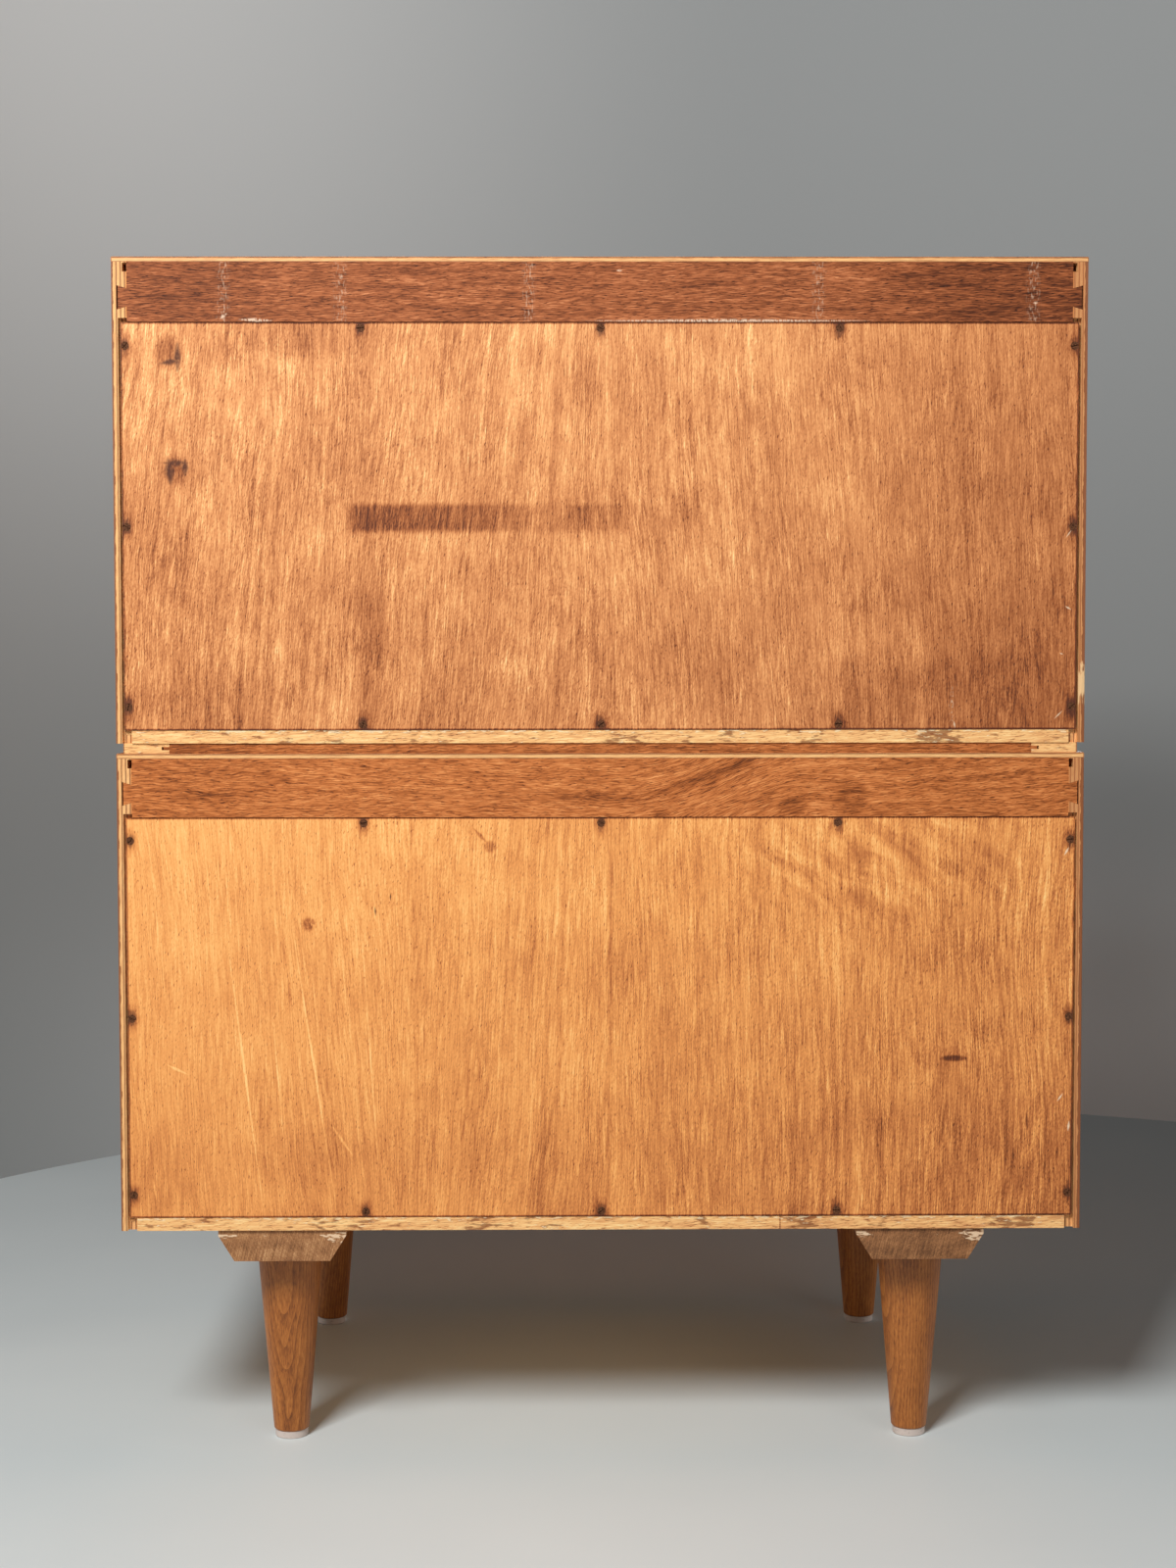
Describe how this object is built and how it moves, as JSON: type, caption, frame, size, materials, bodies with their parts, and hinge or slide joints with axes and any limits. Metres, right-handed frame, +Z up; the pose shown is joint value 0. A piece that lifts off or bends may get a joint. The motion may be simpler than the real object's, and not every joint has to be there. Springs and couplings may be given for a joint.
{
  "type": "chest on chest",
  "caption": "Plywood chest on chest: stacked cases of drawers with a thin frame between them, on bevelled bearers and turned tapered legs.",
  "frame": {"origin": "on the floor, under the middle of the whole piece, knobs included", "axes": "+Z up, the drawers face -Y and open that way, +X to the right seen from the front"},
  "size_m": [0.762, 0.482, 0.9498],
  "materials": {
    "side_ply": "oiled veneered plywood",
    "top_ply": "oiled veneered plywood",
    "bottom_board": "bare scuffed light hardwood",
    "rail_wood": "bare reddish-brown hardwood",
    "back_ply": "bare orange-brown plywood",
    "screw_steel": "dull rusty steel",
    "bolt_steel": "plain steel stud",
    "runner_wood": "bare beech",
    "spacer_wood": "bare light hardwood",
    "bearer_wood": "lightly oiled hardwood",
    "leg_wood": "oiled turned hardwood",
    "glide_plastic": "dull pale plastic",
    "drawer_front_veneer": "oiled veneer",
    "drawer_wood": "bare beech",
    "drawer_ply": "bare plywood",
    "knob_wood": "oiled turned hardwood"
  },
  "bodies": {
    "chest": {"bearer_left": "bearer_wood", "bearer_right": "bearer_wood", "bearer_screws": "screw_steel", "glides": "glide_plastic", "leg_back_left": "leg_wood", "leg_back_right": "leg_wood", "leg_bolts": "bolt_steel", "leg_front_left": "leg_wood", "leg_front_right": "leg_wood", "lower_back_panel": "back_ply", "lower_back_rail": "rail_wood", "lower_back_screws": "screw_steel", "lower_bottom": "bottom_board", "lower_front_rail": "rail_wood", "lower_kickers": "runner_wood", "lower_runners": "runner_wood", "lower_side_left": "side_ply", "lower_side_right": "side_ply", "lower_top": "top_ply", "spacer_back_rail": "rail_wood", "spacer_front_rail": "rail_wood", "spacer_side_left": "spacer_wood", "spacer_side_right": "spacer_wood", "stacking_screws": "screw_steel", "upper_back_panel": "back_ply", "upper_back_rail": "rail_wood", "upper_back_screws": "screw_steel", "upper_bottom": "bottom_board", "upper_front_rail": "rail_wood", "upper_kickers": "runner_wood", "upper_runners": "runner_wood", "upper_side_left": "side_ply", "upper_side_right": "side_ply", "upper_top": "top_ply"},
    "drawer_1": {"drawer_1_back": "drawer_wood", "drawer_1_bottom": "drawer_ply", "drawer_1_front": "drawer_front_veneer", "drawer_1_knobs": "knob_wood", "drawer_1_side_left": "drawer_wood", "drawer_1_side_right": "drawer_wood"},
    "drawer_2": {"drawer_2_back": "drawer_wood", "drawer_2_bottom": "drawer_ply", "drawer_2_front": "drawer_front_veneer", "drawer_2_knobs": "knob_wood", "drawer_2_side_left": "drawer_wood", "drawer_2_side_right": "drawer_wood"},
    "drawer_3": {"drawer_3_back": "drawer_wood", "drawer_3_bottom": "drawer_ply", "drawer_3_front": "drawer_front_veneer", "drawer_3_knobs": "knob_wood", "drawer_3_side_left": "drawer_wood", "drawer_3_side_right": "drawer_wood"},
    "drawer_4": {"drawer_4_back": "drawer_wood", "drawer_4_bottom": "drawer_ply", "drawer_4_front": "drawer_front_veneer", "drawer_4_knobs": "knob_wood", "drawer_4_side_left": "drawer_wood", "drawer_4_side_right": "drawer_wood"}
  },
  "joints": [
    {"name": "drawer_1_slide", "type": "slide", "parent": "chest", "child": "drawer_1", "axis": [0, -1, 0], "range_m": [0, 0.3]},
    {"name": "drawer_2_slide", "type": "slide", "parent": "chest", "child": "drawer_2", "axis": [0, -1, 0], "range_m": [0, 0.3]},
    {"name": "drawer_3_slide", "type": "slide", "parent": "chest", "child": "drawer_3", "axis": [0, -1, 0], "range_m": [0, 0.3]},
    {"name": "drawer_4_slide", "type": "slide", "parent": "chest", "child": "drawer_4", "axis": [0, -1, 0], "range_m": [0, 0.3]}
  ]
}
